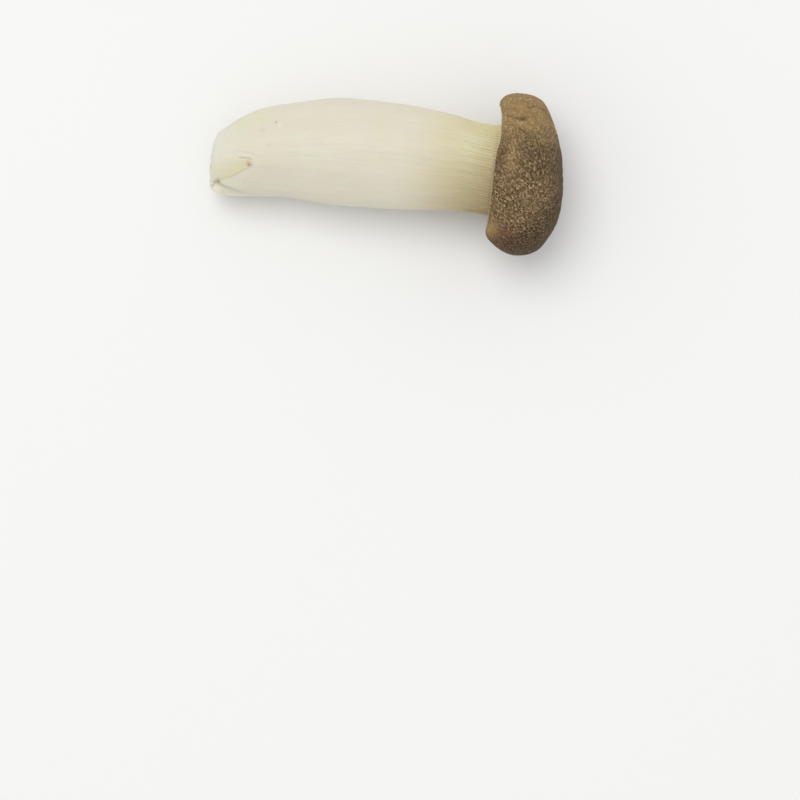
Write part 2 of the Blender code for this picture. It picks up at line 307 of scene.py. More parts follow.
def lattice(points, cell, seed):
    """Value noise from -1 to 1: a random number at each corner of a grid of cells, which repeats after 32,
    blended inside a cell by a smooth step along each axis."""
    size = 32
    table = np.random.default_rng(seed).uniform(-1.0, 1.0, (size, size, size))
    place = points / cell
    corner = np.floor(place).astype(int)
    share = smooth(0.0, 1.0, place - corner)
    total = np.zeros(points.shape[:-1])
    for offset in np.ndindex(2, 2, 2):
        weight = np.prod(np.where(offset, share, 1.0 - share), axis=-1)
        x, y, z = np.moveaxis((corner + offset) % size, -1, 0)
        total += weight * table[x, y, z]
    return total


def specks(points, spacing, seed):
    """Specks of one size: the sum of 48 cosines of plane waves in random directions, each about spacing
    long, over its standard deviation."""
    draw = np.random.default_rng(seed)
    heading = unit(draw.normal(size=(SPECK_WAVES, 3)))
    waves = heading * (TURN / (spacing * draw.uniform(0.7, 1.4, (SPECK_WAVES, 1))))
    phases = draw.uniform(0.0, TURN, SPECK_WAVES)
    total = np.zeros(points.shape[:-1])
    for wave, phase in zip(waves, phases):
        total += np.cos(points @ wave + phase)
    return total / math.sqrt(SPECK_WAVES / 2)


def beside(points, path, width, lost):
    """1 on a path of straight stretches, less beside it by a bell of the distance over the width, and less
    along it, by the share lost at its end. The distance is in space or, where the path has no heights, seen
    from above."""
    path = np.array(path)
    points = points[..., : path.shape[1]]
    nearest = np.full(points.shape[:-1], np.inf)
    place = np.zeros(points.shape[:-1])
    for i, (start, end) in enumerate(zip(path[:-1], path[1:])):
        run = end - start
        share = np.clip(((points - start) @ run) / (run @ run), 0.0, 1.0)
        away = np.linalg.norm(points - start - share[..., None] * run, axis=-1)
        place = np.where(away < nearest, i + share, place)
        nearest = np.minimum(nearest, away)
    return bell(nearest, width) * (1.0 - lost * place / (len(path) - 1))


def spot_distance(points, place):
    """How far points seen from above are from a place."""
    return np.linalg.norm(points[..., :2] - np.array(place), axis=-1)


def grid_normals(points):
    """Outward unit normals of rings: the cross product of the steps round a ring and along the rings."""
    across = np.roll(points, -1, axis=1) - np.roll(points, 1, axis=1)
    return unit(np.cross(across, np.gradient(points, axis=0)))


def stem_centre(x):
    middle, _, half_depth, underside = columns_of(STEM[:, 0], STEM[:, 1:], x)
    return np.stack([x, middle, underside + half_depth], axis=-1)


def stem_directions(x):
    """The stem's sections are parallel to the cut at the foot and square to the cap's axis at the neck."""
    foot = 1.0 - smooth(FOOT, FOOT + FOOT_BLEND, x)
    neck = smooth(0.0, NECK, x)
    return directions(CAP_SLANT + (FOOT_SLANT - CAP_SLANT) * foot, FOOT_TILT * foot + CAP_TILT * neck)


def stem_waves(x, turn):
    """1, plus the slouch of the upper and lower sides, plus sines round the section that twist along it."""
    wave = 1.0 + STEM_SLOUCH * np.sin(turn) ** 2 * np.sin(2 * turn + SLOUCH_TWIST * x)
    for count, share, phase, twist in STEM_WAVES:
        wave = wave + share * np.sin(count * turn + phase + twist * x)
    return wave


def stem_surface(x, turn):
    """The section's centre, plus half width times cosine sideways and half depth times sine upwards, times
    the waves. The last sections before the cut are drawn in by a power of e."""
    x, turn = np.broadcast_arrays(x, turn)
    _, half_width, half_depth, _ = columns_of(STEM[:, 0], STEM[:, 1:], x)
    _, side, up = stem_directions(x)
    wave = stem_waves(x, turn) * (1.0 - RIM_ROUNDING * np.exp((FOOT - x) / RIM_LENGTH))
    across = (half_width * wave * np.cos(turn))[..., None] * side
    return stem_centre(x) + across + (half_depth * wave * np.sin(turn))[..., None] * up


def side_of(points, start, end):
    """How far points seen from above are to the left of the line from start to end."""
    run = np.subtract(end, start) / math.dist(start, end)
    away = points[..., :2] - np.array(start)
    return away[..., 1] * run[0] - away[..., 0] * run[1]


def on_stem(path):
    """A path seen from above, laid on the stem: its height is the section's middle plus half its depth times
    the cosine of the angle whose sine is the share of the half width, and counts for less than the plan."""
    x, y = np.transpose(path)
    middle, half_width, half_depth, underside = columns_of(STEM[:, 0], STEM[:, 1:], x)
    share = np.clip((y - middle) / half_width, -1.0, 1.0)
    height = underside + half_depth * (1.0 + np.sqrt(1.0 - share**2))
    return np.stack([x, y, height * HEIGHT_COUNTS], axis=-1)


def knife_slice(points):
    """The slice beside the cut: the product of smooth steps over its edges, fading with the distance from
    its step as a power of e."""
    inside = np.exp(-np.maximum(side_of(points, *SLICE_STEP), 0.0) / SLICE_LENGTH)
    for start, end, soft in SLICE_EDGES:
        inside = inside * smooth(0.0, soft, side_of(points, start, end))
    return inside


def dull_and_shaded_side(turn, x):
    """Mask of the browner flesh and painted shade on the side away from +Y, under the cap: a smooth step of
    minus the cosine, times a smooth step towards the neck."""
    return 0.8 * smooth(-1.2, 1.2, -np.cos(turn)) * smooth(2.0, 34.0, x)


def foot_marks(points, rise):
    """Depth of the knife's marks, and masks of where the flesh is brown, with painted shade in the creases,
    yellow, blushed, or pale, with a painted highlight on the flap below the fold.
    """
    above = smooth(*MARKS_RISE, rise)
    flatter = points * np.array([1.0, 1.0, HEIGHT_COUNTS])
    slice_share = knife_slice(points) * above
    groove = np.zeros(points.shape[:-1])
    brown_and_shade = np.zeros(points.shape[:-1])
    # Each crease is sunk and darkened: its brown is partly painted shade in the crease.
    for path, deep, width, darkness, lost in FOOT_CREASES:
        crease = beside(flatter, on_stem(path), width, lost)
        groove = np.maximum(groove, deep * crease)
        brown_and_shade = np.maximum(brown_and_shade, darkness * crease)
    depth = SLICE_DEPTH * slice_share + groove
    pale_and_lit = np.zeros(points.shape[:-1])
    # Each ridge is raised and paled: on the flap that paleness is a painted highlight.
    for path, height, width, pale_and_lit_share, lost in FOOT_RIDGES:
        ridge = beside(flatter, on_stem(path), width, lost)
        depth = depth - height * ridge
        pale_and_lit = np.maximum(pale_and_lit, pale_and_lit_share * ridge)
    for place, radius, deep, darkness in FOOT_SPOTS:
        spot = bell(spot_distance(points, place), radius) * above
        depth = depth + deep * spot
        brown_and_shade = np.maximum(brown_and_shade, darkness * spot)
    blush = np.zeros(points.shape[:-1])
    for place, radius in FOOT_BLUSH:
        blush = np.maximum(blush, bell(spot_distance(points, place), radius))
    return depth, brown_and_shade, slice_share, blush * above, pale_and_lit


def lobes(turn):
    """The cap isn't quite oval: waves round it, which leave its two sides where they are."""
    waves = sum(share * np.sin(count * turn + phase) for count, share, phase in LOBES)
    return 1.0 + waves * np.sin(turn) ** 2


def notch(turn):
    """How far the lip is drawn back along the cap's axis: beside the fold, and all along its lower side."""
    away = (turn - NOTCH_TURN + math.pi) % TURN - math.pi
    spread = np.where(away < 0.0, *NOTCH_SPREAD)
    return NOTCH_DEPTH * bell(away, spread) + LIP_LIFT * smooth(0.0, LIP_LIFT_FULL, -np.sin(turn))


def on_cap(across, up, along, dent_share):
    """Points given across, up and along the cap's axis, drawn towards its middle where the soft fold is."""
    depth = DENT_DEPTH * bell(across - DENT_SIDE, DENT_WIDTH) * smooth(*DENT_RISE, up) * dent_share
    keep = 1.0 - depth / np.maximum(np.sqrt(across**2 + up**2 + along**2), 1.0)
    axis, side, rise = directions(CAP_SLANT, CAP_TILT)
    across, up, along = ((part * keep)[..., None] for part in (across, up, along))
    return CAP_MIDDLE + across * side + up * rise + along * axis


def cap_surface(place, turn):
    """A ring at a place in CAP is an oval between the ring's two sides: half their distance, times the lobes,
    times cosine across, the same times flatness and sine upwards, and along the axis between the two."""
    place, turn = np.broadcast_arrays(place, turn)
    rows = np.vstack([CAP, CAP[-2, [2, 3, 0, 1]]])
    high, high_along, low, low_along = columns_of(np.arange(len(rows)), rows, place)
    half_width = (high - low) / 2 * lobes(turn)
    across = (high + low) / 2 + half_width * np.cos(turn)
    along = (high_along + low_along) / 2 + (high_along - low_along) / 2 * np.cos(turn)
    along = along + notch(turn) * (1.0 - smooth(*NOTCH_FADE, place))
    return on_cap(across, CAP_FLATNESS * half_width * np.sin(turn), along, 1.0)


def underside_surface(share, depth_share, turn):
    """Between neck and lip: an oval that goes from the neck's to the lip's with share. Its place along the
    axis is that of the gills' edges, plus depth_share of the depth between them."""
    share, depth_share, turn = np.broadcast_arrays(share, depth_share, turn)
    _, neck_width, neck_depth, _ = curve(STEM[:, 0], STEM[:, 1:], np.array(NECK))
    axis, side, rise = directions(CAP_SLANT, CAP_TILT)
    offset = stem_centre(np.array(NECK)) - CAP_MIDDLE
    lip_width = (CAP[0, 0] - CAP[0, 2]) / 2
    lip_middle = (CAP[0, 0] + CAP[0, 2]) / 2
    edge, depth = columns_of(UNDERSIDE[:, 0], UNDERSIDE[:, 1:], share)
    wave = stem_waves(NECK, turn) * (1.0 - share) + lobes(turn) * share
    sunk = SUNK_DEPTH * depth_share * (1.0 - smooth(0.0, 0.15, share))
    half_width = (neck_width + (lip_width - neck_width) * share) * wave - sunk
    half_depth = (neck_depth + (lip_width * CAP_FLATNESS - neck_depth) * share) * wave - sunk
    across = (offset @ side) * (1.0 - share) + lip_middle * share + half_width * np.cos(turn)
    up = (offset @ rise) * (1.0 - share) + half_depth * np.sin(turn)
    along = edge + depth * depth_share + notch(turn) * share
    return on_cap(across, up, along, share * share)


def placed(points):
    """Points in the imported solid's frame, flattened where they press on the surface below."""
    points = points + np.array(SHIFT)
    points[..., 2] = np.maximum(points[..., 2], 0.0)
    return points


def even_places(points, count):
    """Places from 0 to the last of points, at even steps along the line through them."""
    length = np.concatenate([[0.0], np.cumsum(np.linalg.norm(np.diff(points, axis=0), axis=-1))])
    return np.interp(np.linspace(0.0, length[-1], count), length, np.arange(len(points)))


def new_object(name, vertices, faces, attributes):
    """A mesh object at the origin from points in millimetres, with an attribute for each named array."""
    mesh = bpy.data.meshes.new(name)
    mesh.from_pydata((vertices * MM).tolist(), [], faces)
    mesh.shade_smooth()
    for label, values in attributes.items():
        kind, field = ("FLOAT_VECTOR", "vector") if values.ndim == 2 else ("FLOAT", "value")
        made = mesh.attributes.new(label, kind, "POINT")
        made.data.foreach_set(field, values.astype(np.float32).ravel())
    obj = bpy.data.objects.new(name, mesh)
    bpy.context.scene.collection.objects.link(obj)
    return obj


def shell(name, rings, first, last, attributes):
    """A closed surface: quads between the rings, and a fan at each end to the points first and last."""
    count, columns = rings.shape[:2]
    corner = np.arange(count * columns).reshape(count, columns)
    after = np.roll(corner, -1, axis=1)
    quads = np.stack([corner[:-1], after[:-1], after[1:], corner[1:]], axis=-1).reshape(-1, 4)
    tip = np.full(columns, count * columns)
    fans = np.vstack(
        [
            np.stack([after[0], corner[0], tip], axis=-1),
            np.stack([corner[-1], after[-1], tip + 1], axis=-1),
        ]
    )
    vertices = np.vstack([rings.reshape(-1, 3), first, last])
    closed = {}
    for label, values in attributes.items():
        ends = [values[0].mean(axis=0), values[-1].mean(axis=0)]
        flat = values.reshape(count * columns, -1)
        closed[label] = np.vstack([flat, np.reshape(ends, (2, -1))])
        if values.ndim == 2:
            closed[label] = closed[label][:, 0]
    return new_object(name, vertices, quads.tolist() + fans.tolist(), closed)


def finish_piece(piece, material):
    """The piece gets its material, rides on the mushroom's one body and stands for its solid."""
    piece.data.materials.append(material)
    (body,) = frame["bodies"]
    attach(piece, body)
    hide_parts(NODE)


def stem_rings(settings):
    """Rings of the cut face and of the stem: turn, x, share of the radius on the face, and both sets of points."""
    turn = np.arange(STEM_COLUMNS) * (TURN / STEM_COLUMNS)
    arc = np.linspace(0.0, math.pi / 2, FACE_RINGS + 1)[1:-1, None]
    middle = stem_centre(np.array(FOOT))
    axis, _, _ = stem_directions(np.array(FOOT))
    rim = stem_surface(FOOT, turn)
    bulge = FOOT_BULGE * np.cos(arc)
    face = middle + (rim - middle) * np.sin(arc)[..., None] - bulge[..., None] * axis
    share = np.linspace(0.0, 1.0, STEM_RINGS)
    x = (FOOT + (NECK - FOOT) * share * (settings.crowding + (1.0 - settings.crowding) * share))[:, None]
    return turn, x, np.sin(arc), face, stem_surface(x, turn)


def build_stem(settings):
    """The stem's surface, moved along its normals by the marks, the fibres and slow unevenness."""
    turn, x, radius, face, stem = stem_rings(settings)
    points = np.vstack([face, stem])
    rings = len(points)
    along = np.vstack([FOOT - (1.0 - radius) * STEM_ROUND, x])
    on_face = np.vstack([np.ones_like(radius), np.zeros_like(x)])
    reach = np.vstack([radius, np.ones_like(x)])
    circle = np.stack([np.cos(turn), np.sin(turn)], axis=-1) * STEM_ROUND
    grain = np.concatenate(
        [np.broadcast_to(circle, (rings, len(turn), 2)) * reach[..., None],
         np.broadcast_to(along, (rings, len(turn)))[..., None]],
        axis=-1,
    )
    normals = grid_normals(points)
    height = points[..., 2] - stem_centre(np.vstack([np.full_like(radius, FOOT), x]))[..., 2]
    depth, brown_and_shade, yellow, blush, pale_and_lit = foot_marks(points, height)
    face_share = on_face * smooth(1.0, 0.78, reach + 0.06 * lattice(points, 1.7, 17))
    neck = smooth(0.0, NECK, along)

    stretched = grain * np.array([1.0, 1.0, 1.0 / settings.fibre_stretch])
    fibres = lattice(stretched, 1.1, 11) + 0.5 * lattice(stretched, 0.5, 12)
    raised = settings.fibre_relief / MM * fibres * (1.0 - face_share) * (0.6 + neck)
    raised = raised + settings.unevenness / MM * (lattice(points, 8.0, 13) + 0.35 * lattice(points, 2.8, 14))
    torn = lattice(points, 1.3, 15) + 0.5 * lattice(points, 0.5, 16)
    raised = raised + settings.cut_relief / MM * torn * face_share
    sunk = SUNK_DEPTH * smooth(SUNK_FROM, NECK, along)
    points = points + normals * (raised - depth - sunk)[..., None]

    green = np.zeros(points.shape[:-1])
    for place, spread in GREEN_TINTS:
        green = np.maximum(green, bell(spot_distance(points, place), spread))
    green = green * smooth(0.0, 6.0, height)
    # Browner flesh and painted shade on the neck's lower side.
    dull_and_shade = dull_and_shaded_side(turn, along) * (1.0 - on_face)
    axis, _, _ = stem_directions(np.array(NECK))
    end = stem_centre(np.array(NECK)) + axis * 3.0
    tail = end + (points[-1] - stem_centre(np.array(NECK))) * 0.8
    points = np.vstack([points, tail[None]])
    masks = {
        "brown_and_shade": brown_and_shade,
        "yellow": yellow,
        "blush": blush,
        "pale_and_lit": pale_and_lit,
        "green": green,
        "cut": np.maximum(face_share, CUT_SPILL[0] * np.exp(np.minimum(FOOT - along, 0.0) / CUT_SPILL[1])),
        "neck": np.broadcast_to(neck, brown_and_shade.shape),
        "dull_and_shade": dull_and_shade,
    }
    masks = {label: np.vstack([values, values[-1:]]) for label, values in masks.items()}
    masks["grain"] = np.vstack([grain, grain[-1:]])
    first = face[0].mean(axis=0) - stem_directions(np.array(FOOT))[0] * 0.02
    tips = placed(np.array([first, end]))
    return shell("stem", placed(points), tips[0], tips[1], masks)


def build_cap(settings):
    """The cap's skin from lip to dome, the lip's inner side and the flesh between the gills, in one surface.

    Along its normals the skin is raised by the nap, slow lumps, wrinkles, rays round the tip and the crimped
    lip, and lowered by the dimple at the tip and by the creases.
    """
    turn = np.arange(CAP_COLUMNS) * (TURN / CAP_COLUMNS)
    line = cap_surface(np.linspace(0.0, CAP_TOP, LINE_POINTS), math.pi / 2)
    place = even_places(line, SKIN_RINGS + 1)[:-1, None] * (CAP_TOP / (LINE_POINTS - 1))
    share = np.linspace(-0.25, 1.0, FLOOR_RINGS + 1)[:-1, None]
    skin = cap_surface(place, turn)
    floor = underside_surface(np.maximum(share, 0.0), 1.0, turn)
    inwards = np.minimum(share, 0.0)[..., None]
    neck_middle = stem_centre(np.array(NECK))
    axis, side, up = directions(CAP_SLANT, CAP_TILT)
    floor = floor + inwards * (floor - neck_middle) + inwards * 2.0 * axis
    points = np.vstack([floor, skin])
    place = np.vstack([share - 1.0, place])
    normals = grid_normals(points)
    local = points - CAP_MIDDLE
    across = local @ side
    rise = local @ up
    along = local @ axis

    skin_share = np.broadcast_to(smooth(-0.12, 0.35, place), across.shape)
    tan = smooth(6.5, 14.5, across + 2.2 * lattice(points, 4.0, 21)) * smooth(-9.0, 9.0, rise)
    tan = tan * (1.0 - 0.6 * smooth(3.0, 11.0, along))
    strip = bell(place - 2.9, 0.9) * smooth(-6.0, 2.0, across)
    tan = np.maximum(tan, 0.45 * strip)
    # The skin's own darker tone and painted shade on the dome, the lower side and a band in the middle.
    tone_and_shade = np.zeros(across.shape)
    for share, by_along, by_across, start, end in CAP_TONE_AND_SHADE:
        tone_and_shade = tone_and_shade + share * smooth(start, end, by_along * along + by_across * across)
    tone_and_shade = np.clip(tone_and_shade, 0.0, 1.0) * (1.0 - strip)
    nap = specks(points, settings.nap_size / MM, 22) * (1.0 + 0.4 * lattice(points, 3.0, 23))
    rough = skin_share * (1.0 - 0.2 * tan)
    raised = settings.nap_relief / MM * nap * rough
    raised = raised + settings.unevenness / MM * skin_share * (
        lattice(points, 6.0, 24) + 0.5 * lattice(points, 2.6, 25)
    )
    bend = np.stack([lattice(points, 1.5, seed) for seed in (30, 31, 32)], axis=-1)
    wrinkled = bell(across - 13.0, 3.5) * smooth(2.0, 8.0, rise) * smooth(0.5, 2.0, place)
    waves = lattice(points * np.array([0.4, 1.3, 1.0]) + 0.6 * bend, 0.85, 26)
    raised = raised + settings.wrinkle_relief / MM * wrinkled * waves
    from_tip = np.sqrt(across**2 + rise**2)
    near_tip = smooth(6.0, 10.0, along)
    dimple = bell(from_tip, 3.2) * near_tip
    rays = np.sin(13 * turn + 2.5 * lattice(points, 4.0, 27)) * bell(from_tip - 3.0, 2.4) * near_tip
    raised = raised - DIMPLE_DEPTH * dimple + RAY_HEIGHT * rays
    crimp = np.sin(34 * turn + 3.0 * lattice(points, 5.0, 28)) * bell(place - 0.3, 0.7)
    raised = raised + CRIMP_HEIGHT * crimp
    # The crease mask darkens the furrows with the pits' colour in the material: painted shade in the creases.
    crease = np.zeros(across.shape)
    broken = 1.0 + 0.7 * lattice(points, 0.8, 33)
    for path, deep, width, lost in CAP_CREASES:
        furrow = beside(points + 0.45 * bend, path, width, lost) * smooth(4.0, 9.0, rise) * broken
        crease = np.maximum(crease, furrow * deep / 0.4)
        raised = raised - deep * furrow
    points = points + normals * raised[..., None]

    masks = {
        "skin": skin_share,
        "tan": tan,
        "nap": np.clip(0.5 + 0.2 * nap + 0.5 * wrinkled * waves, 0.0, 1.0) * skin_share,
        "crease": crease,
        "lip": np.broadcast_to(bell(place - 0.05, 0.22), across.shape),
        "tone_and_shade": tone_and_shade,
        "even": smooth(-7.0, 4.0, across + 2.0 * lattice(points, 4.0, 29)),
        "ruddy": bell(across + 19.0, 4.0) * smooth(3.0, -3.0, along) * smooth(-8.0, 0.0, rise),
        "pale_edge": bell(across + 17.0, 2.2) * bell(place - 1.0, 1.0) * smooth(0.0, 6.0, rise),
    }
    first = floor[0].mean(axis=0)
    tip = skin[-1].mean(axis=0) + axis * CAP_TIP - axis * DIMPLE_DEPTH
    tips = placed(np.array([first, tip]))
    return shell("cap", placed(points), tips[0], tips[1], masks)


def gill_frame(s, turn):
    """Foot and edge of a gill: up to the neck they are on the sunk and the true surface of the stem, and
    beyond it on the underside's two surfaces. s is x on the stem, and runs on along the underside."""
    x = np.minimum(s, NECK)
    share = np.clip((s - NECK) / UNDERSIDE_LENGTH, 0.0, 1.0)
    stem = stem_surface(x, turn)
    outward = unit(stem - stem_centre(np.broadcast_to(x, stem.shape[:-1])))
    sunk = (SUNK_DEPTH * smooth(SUNK_FROM, NECK, x))[..., None]
    beyond = (s > NECK)[..., None]
    edge = np.where(beyond, underside_surface(share, 0.0, turn), stem)
    foot = np.where(beyond, underside_surface(share, 1.0, turn), stem - outward * sunk)
    return foot, edge


def build_gills(settings):
    """Thin waved blades. Each is a rounded section carried along its line: the section's height goes from
    the gap's floor to the gill's edge, and fades out at both ends."""
    draw = np.random.default_rng(settings.seed)
    count = settings.blades
    long_start = draw.uniform(SUNK_FROM + 3.0, SUNK_FROM + 11.0, count)
    short_start = NECK + UNDERSIDE_LENGTH * draw.uniform(0.12, 0.5, count)
    start = np.stack([long_start, short_start], axis=-1).ravel()[:, None]
    end = NECK + UNDERSIDE_LENGTH * draw.uniform(0.90, 0.96, 2 * count)[:, None]
    pitch = TURN / (2 * count)
    base_turn = (np.arange(2 * count) + draw.uniform(-0.16, 0.16, 2 * count))[:, None] * pitch
    u = np.linspace(0.0, 1.0, GILL_STEPS)
    s = start + (end - start) * u
    phase = draw.uniform(0.0, TURN, (2, 2 * count, 1))
    wander = 0.20 * np.sin(s / 2.3 + phase[0]) + 0.12 * np.sin(s / 0.9 + phase[1])
    wander = wander * smooth(NECK - 4.0, NECK + 1.0, s) + 0.18 * np.sin(s / 7.0 + phase[0])
    turn = base_turn + wander * pitch
    foot, edge = gill_frame(s, turn)
    _, ahead = gill_frame(s, turn + 0.01)
    lateral = unit(ahead - edge)
    upward = unit(edge - foot)
    fade = smooth(0.0, 0.25, u) * (1.0 - 0.9 * smooth(0.93, 1.0, u))
    tall = np.linalg.norm(edge - foot, axis=-1)
    frill = 1.0 - settings.frill * (0.5 + 0.5 * np.sin(s / 0.55 + phase[1])) * smooth(0.4, 1.0, tall)
    tall = tall * fade * frill
    width = settings.thickness / MM * (0.75 + 0.25 * smooth(0.0, 0.3, u))
    place_across, rise = GILL_SECTION.T
    sideways = place_across * (width * np.ones_like(s))[..., None]
    high = np.where(rise < 0.0, rise, rise * tall[..., None])
    points = foot[..., None, :] + lateral[..., None, :] * sideways[..., None]
    points = points + upward[..., None, :] * high[..., None]

    blades, steps, ring = points.shape[:3]
    corner = np.arange(blades * steps * ring).reshape(blades, steps, ring)
    after = np.roll(corner, -1, axis=2)
    quads = np.stack([corner[:, :-1], after[:, :-1], after[:, 1:], corner[:, 1:]], axis=-1).reshape(-1, 4)
    ends = np.vstack([corner[:, 0, ::-1], corner[:, -1]])
    crest = np.broadcast_to(np.clip(rise, 0.0, 1.0), points.shape[:-1])
    out = np.broadcast_to(smooth(NECK - 2.0, NECK + 5.0, s)[..., None], points.shape[:-1])
    attributes = {
        "crest": crest.ravel(),
        "outward": out.ravel(),
        # Browner flesh and painted shade on the lower side, faded out along the gills in the material.
        "dull_and_shade": np.broadcast_to(dull_and_shaded_side(turn, s)[..., None], points.shape[:-1]).ravel(),
        "grain": np.stack(
            [sideways, high, np.broadcast_to(s[..., None], sideways.shape)], axis=-1
        ).reshape(-1, 3),
    }
    return new_object("gills", placed(points.reshape(-1, 3)), quads.tolist() + ends.tolist(), attributes)


def add(tree, kind, inputs=None, **settings):
    """A node, with its settings and its inputs. An input is a value, or the socket that feeds it."""
    node = tree.nodes.new(kind)
    node.location = (180.0 * (len(tree.nodes) % 12), -220.0 * (len(tree.nodes) // 12))
    for name, value in settings.items():
        setattr(node, name, value)
    for name, value in (inputs or {}).items():
        if isinstance(value, NodeSocket):
            tree.links.new(value, node.inputs[name])
        else:
            node.inputs[name].default_value = value
    return node


def blended(tree, share, first, second, how="MIX"):
    """The colour at a share of the way from first to second."""
    rgba = [value if isinstance(value, NodeSocket) else (*value, 1.0) for value in (first, second)]
    inputs = {0: share, 6: rgba[0], 7: rgba[1]}
    return add(tree, "ShaderNodeMix", inputs, data_type="RGBA", blend_type=how).outputs[2]


def maths(tree, operation, *values):
    """A sum, product or other operation on sockets and numbers."""
    return add(tree, "ShaderNodeMath", dict(enumerate(values)), operation=operation).outputs[0]


def mask(tree, name):
    """A mask that the mesh carries."""
    return add(tree, "ShaderNodeAttribute", attribute_name=name).outputs["Fac"]


def ranged(tree, value, low, high, to_low=0.0, to_high=1.0):
    """A value taken from low..high to to_low..to_high, and held there."""
    inputs = {"Value": value, "From Min": low, "From Max": high, "To Min": to_low, "To Max": to_high}
    return add(tree, "ShaderNodeMapRange", inputs).outputs["Result"]


def group(name, inputs, outputs):
    """An empty shader node group, the sockets that come in and those that take what goes out."""
    made = bpy.data.node_groups.new(name, "ShaderNodeTree")
    for label, kind, default in inputs:
        socket = made.interface.new_socket(name=label, in_out="INPUT", socket_type=kind)
        if default is not None:
            socket.default_value = default
    for label in outputs:
        made.interface.new_socket(name=label, in_out="OUTPUT", socket_type="NodeSocketFloat")
    return made, made.nodes.new("NodeGroupInput").outputs, made.nodes.new("NodeGroupOutput").inputs


def placed_group(tree, made, **inputs):
    """A group in a material, with its own values."""
    return add(tree, "ShaderNodeGroup", inputs, node_tree=made).outputs


def tinted(tree, colour, *tints):
    """The colour with tints laid over it in turn: each is a share, the mask it is a share of, the tint and,
    where it isn't a plain mix, how it is laid on."""
    for share, where, tint, *how in tints:
        where = mask(tree, where) if isinstance(where, str) else where
        colour = blended(tree, maths(tree, "MULTIPLY", where, share), colour, tint, *how)
    return colour


def fibres_group():
    """Fine fibres: noise drawn out along the grain, in two sizes."""
    made = bpy.data.node_groups.get("Fibres")
    if made:
        return made
    inputs = [
        ("Grain", "NodeSocketVector", None),
        ("Size", "NodeSocketFloat", 1.0),
        ("Stretch", "NodeSocketFloat", 12.0),
    ]
    made, given, result = group("Fibres", inputs, ["Mask", "Height"])
    squeeze = maths(made, "DIVIDE", 1.0, given["Stretch"])
    scale = add(made, "ShaderNodeCombineXYZ", {"X": 1.0, "Y": 1.0, "Z": squeeze}).outputs[0]
    drawn = add(made, "ShaderNodeVectorMath", {0: given["Grain"], 1: scale}, operation="MULTIPLY").outputs[0]
    often = maths(made, "DIVIDE", 1.0, given["Size"])
    coarse = add(made, "ShaderNodeTexNoise", {"Vector": drawn, "Scale": often, "Detail": 2.0}).outputs["Fac"]
    finer = maths(made, "MULTIPLY", often, 3.1)
    fine = add(made, "ShaderNodeTexNoise", {"Vector": drawn, "Scale": finer, "Detail": 2.0}).outputs["Fac"]
    both = add(made, "ShaderNodeMix", {0: 0.4, 2: coarse, 3: fine}, data_type="FLOAT").outputs[0]
    made.links.new(both, result["Height"])
    made.links.new(ranged(made, both, 0.36, 0.64), result["Mask"])
    return made


def mottle_group():
    """Cloudy patches: noise taken from a low to a high bound."""
    made = bpy.data.node_groups.get("Mottle")
    if made:
        return made
    inputs = [
        ("Vector", "NodeSocketVector", None),
        ("Size", "NodeSocketFloat", 1.0),
        ("Low", "NodeSocketFloat", 0.35),
        ("High", "NodeSocketFloat", 0.65),
    ]
    made, given, result = group("Mottle", inputs, ["Mask"])
    often = maths(made, "DIVIDE", 1.0, given["Size"])
    noise = add(made, "ShaderNodeTexNoise", {"Vector": given["Vector"], "Scale": often, "Detail": 3.0})
    made.links.new(ranged(made, noise.outputs["Fac"], given["Low"], given["High"]), result["Mask"])
    return made


def fibres_along(tree, size, stretch):
    """Fine fibres along the grain that the mesh carries: their mask and height."""
    grain = add(tree, "ShaderNodeAttribute", attribute_name="grain").outputs["Vector"]
    return placed_group(tree, fibres_group(), Grain=grain, Size=size, Stretch=stretch)


def mottled(tree, place, size, low=0.35, high=0.65):
    """The mask of cloudy patches of a size in millimetres."""
    return placed_group(tree, mottle_group(), Vector=place, Size=size, Low=low, High=high)["Mask"]


def millimetres(tree):
    """Object coordinates in millimetres."""
    place = add(tree, "ShaderNodeTexCoord").outputs["Object"]
    return add(tree, "ShaderNodeVectorMath", {0: place, "Scale": 1.0 / MM}, operation="SCALE").outputs[0]


def new_material(name):
    """A material, its node tree and its Principled shader."""
    material = bpy.data.materials.new(name)
    material.use_nodes = True
    return material, material.node_tree, material.node_tree.nodes["Principled BSDF"]


def set_values(shader, **values):
    """Values that are the same all over, set on the shader's own sockets."""
    for name, value in values.items():
        shader.inputs[name.replace("_", " ").title()].default_value = value


def bumped(tree, shader, height, distance, strength=1.0):
    """Fine relief under the shader's normal."""
    node = add(tree, "ShaderNodeBump", {"Height": height, "Distance": distance, "Strength": strength})
    tree.links.new(node.outputs["Normal"], shader.inputs["Normal"])


